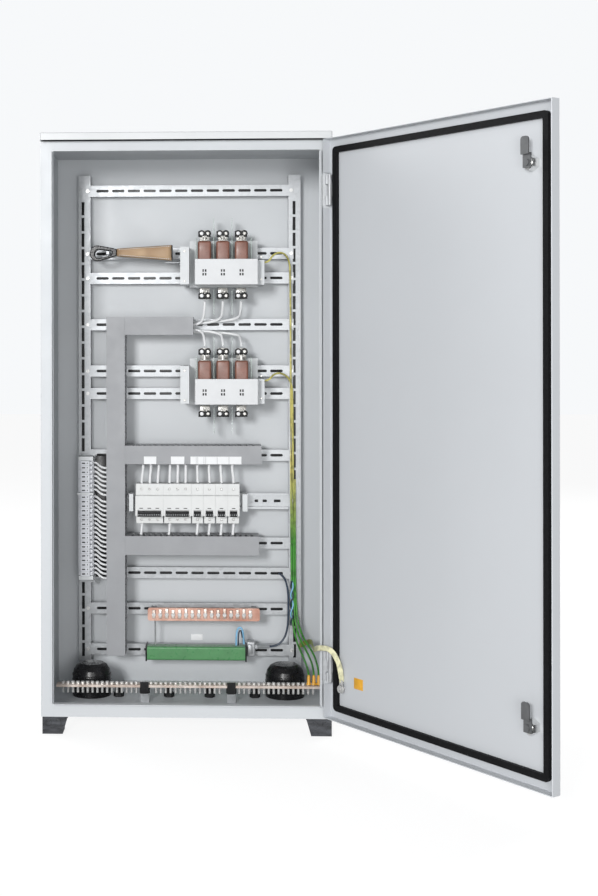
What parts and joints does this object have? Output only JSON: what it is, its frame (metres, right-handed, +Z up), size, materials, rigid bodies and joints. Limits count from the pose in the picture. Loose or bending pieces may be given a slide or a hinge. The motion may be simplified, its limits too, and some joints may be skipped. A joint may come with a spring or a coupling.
{
  "type": "distribution cabinet",
  "caption": "Floor-standing steel distribution cabinet with a hinged door, slotted inner frame, wiring ducts, fuse switches, breakers, terminals and earth bars.",
  "frame": {"origin": "centre of the four foot bolt holes, on the floor", "axes": "+Z up, +X to the right as one faces the cabinet, the front and its door opening towards -Y; the door stands open on the right"},
  "size_m": [0.9456, 0.8067, 1.2366],
  "materials": {
    "cabinet_paint": "light grey powder coat, fine texture",
    "roof_paint": "light grey powder coat, fine texture",
    "foot_paint": "black satin paint",
    "zinc": "bright zinc plate",
    "zinc_screw": "bright zinc plate, small scratches",
    "duct_pvc": "grey PVC",
    "label_white": "blank white label strip",
    "fuse_moulding": "white thermoset moulding",
    "contact": "silver-plated copper",
    "fuse_lid": "white moulding",
    "fuse_ceramic": "brown unglazed ceramic",
    "barrier_clear": "clear, faintly green sheet",
    "black_rubber": "black rubber",
    "black_plastic": "black moulding",
    "sleeve_leather": "tan leather, pale stitching",
    "terminal_plastic": "pale grey moulding",
    "clamp_plastic": "white moulding",
    "breaker_plastic": "light grey moulding",
    "copper": "bare copper, lightly tarnished",
    "cover_green": "green moulding",
    "earth_bar_metal": "tinned copper",
    "wire_white": "white insulation",
    "wire_earth": "yellow and green striped insulation",
    "wire_blue": "blue insulation",
    "wire_dark": "dark blue insulation",
    "hinge_metal": "zinc casting",
    "door_paint": "light grey powder coat, fine texture",
    "gasket_foam": "black foamed sealing strip",
    "lock_chrome": "chromed zinc casting",
    "cam_metal": "zinc-plated steel",
    "strap": "pale yellow insulation"
  },
  "bodies": {
    "cabinet": {"side_panels": "cabinet_paint", "back_panel": "cabinet_paint", "top_panel": "cabinet_paint", "roof_cap": "roof_paint", "floor_plate": "cabinet_paint", "front_frame": "cabinet_paint", "corner_feet": "foot_paint", "foot_bolts": "foot_paint", "upright_left": "zinc", "upright_right": "zinc", "cross_rails": "zinc", "rail_screws": "zinc_screw", "duct_troughs": "duct_pvc", "duct_covers": "duct_pvc", "circuit_labels": "label_white", "fuse_bases": "fuse_moulding", "fuse_contacts": "contact", "phase_barriers": "barrier_clear", "puller_holder": "zinc", "din_rails": "zinc", "terminal_blocks": "terminal_plastic", "end_clamps": "clamp_plastic", "breakers_triple": "breaker_plastic", "breakers_single": "breaker_plastic", "neutral_bar": "copper", "covered_bar": "copper", "covered_bar_cover": "cover_green", "covered_bar_brackets": "black_plastic", "earth_bar": "earth_bar_metal", "bar_pedestals": "zinc", "bar_standoffs": "black_plastic", "bar_screws": "zinc_screw", "cable_grommets": "black_rubber", "cable_glands": "black_plastic", "wires_white": "wire_white", "wires_earth": "wire_earth", "wires_blue": "wire_blue", "wires_dark": "wire_dark", "hinge_bodies": "hinge_metal", "hinge_pins": "zinc", "earth_strap": "strap"},
    "door": {"door_panel": "door_paint", "door_gasket": "gasket_foam", "hinge_leaves": "hinge_metal", "lock_housings": "lock_chrome", "earth_studs": "zinc_screw"},
    "cam_top": {"lock_cam_top": "cam_metal"},
    "cam_bottom": {"lock_cam_bottom": "cam_metal"},
    "fuse_carrier_upper": {"fuse_lid_upper": "fuse_lid", "fuse_links_upper": "fuse_ceramic"},
    "fuse_carrier_lower": {"fuse_lid_lower": "fuse_lid", "fuse_links_lower": "fuse_ceramic"},
    "puller": {"puller_handle": "black_rubber", "puller_sleeve": "sleeve_leather"},
    "toggle_1": {"toggle_1": "black_plastic"},
    "toggle_2": {"toggle_2": "black_plastic"},
    "toggle_3": {"toggle_3": "black_plastic"},
    "toggle_4": {"toggle_4": "black_plastic"},
    "toggle_5": {"toggle_5": "black_plastic"},
    "toggle_6": {"toggle_6": "black_plastic"}
  },
  "joints": [
    {"name": "door_hinge", "type": "hinge", "parent": "cabinet", "child": "door", "pos_m": [0.2932, -0.1653, 0.6], "axis": [0, 0, 1], "range_deg": [-125.5, 4.5], "deforming": ["earth_strap"]},
    {"name": "cam_turn_top", "type": "hinge", "parent": "door", "child": "cam_top", "pos_m": [0.59864, -0.61073, 1.117], "axis": [0.8141, 0.5807, 0], "range_deg": [0, 90]},
    {"name": "cam_turn_bottom", "type": "hinge", "parent": "door", "child": "cam_bottom", "pos_m": [0.59864, -0.61073, 0.1475], "axis": [0.8141, 0.5807, 0], "range_deg": [0, 90]},
    {"name": "fuse_pull_upper", "type": "slide", "parent": "cabinet", "child": "fuse_carrier_upper", "axis": [0, -1, 0], "range_m": [0, 0.07]},
    {"name": "fuse_pull_lower", "type": "slide", "parent": "cabinet", "child": "fuse_carrier_lower", "axis": [0, -1, 0], "range_m": [0, 0.07]},
    {"name": "puller_lift_off", "type": "slide", "parent": "cabinet", "child": "puller", "axis": [0, -1, 0], "range_m": [0, 0.12]},
    {"name": "toggle_turn_1", "type": "hinge", "parent": "cabinet", "child": "toggle_1", "pos_m": [-0.087, 0.061, 0.4305], "axis": [-1, 0, 0], "range_deg": [0, 50]},
    {"name": "toggle_turn_2", "type": "hinge", "parent": "cabinet", "child": "toggle_2", "pos_m": [-0.0253, 0.061, 0.4305], "axis": [-1, 0, 0], "range_deg": [0, 50]},
    {"name": "toggle_turn_3", "type": "hinge", "parent": "cabinet", "child": "toggle_3", "pos_m": [0.0188, 0.061, 0.4305], "axis": [-1, 0, 0], "range_deg": [0, 50]},
    {"name": "toggle_turn_4", "type": "hinge", "parent": "cabinet", "child": "toggle_4", "pos_m": [0.0453, 0.061, 0.4305], "axis": [-1, 0, 0], "range_deg": [0, 50]},
    {"name": "toggle_turn_5", "type": "hinge", "parent": "cabinet", "child": "toggle_5", "pos_m": [0.0718, 0.061, 0.4305], "axis": [-1, 0, 0], "range_deg": [0, 50]},
    {"name": "toggle_turn_6", "type": "hinge", "parent": "cabinet", "child": "toggle_6", "pos_m": [0.0983, 0.061, 0.4305], "axis": [-1, 0, 0], "range_deg": [0, 50]}
  ]
}
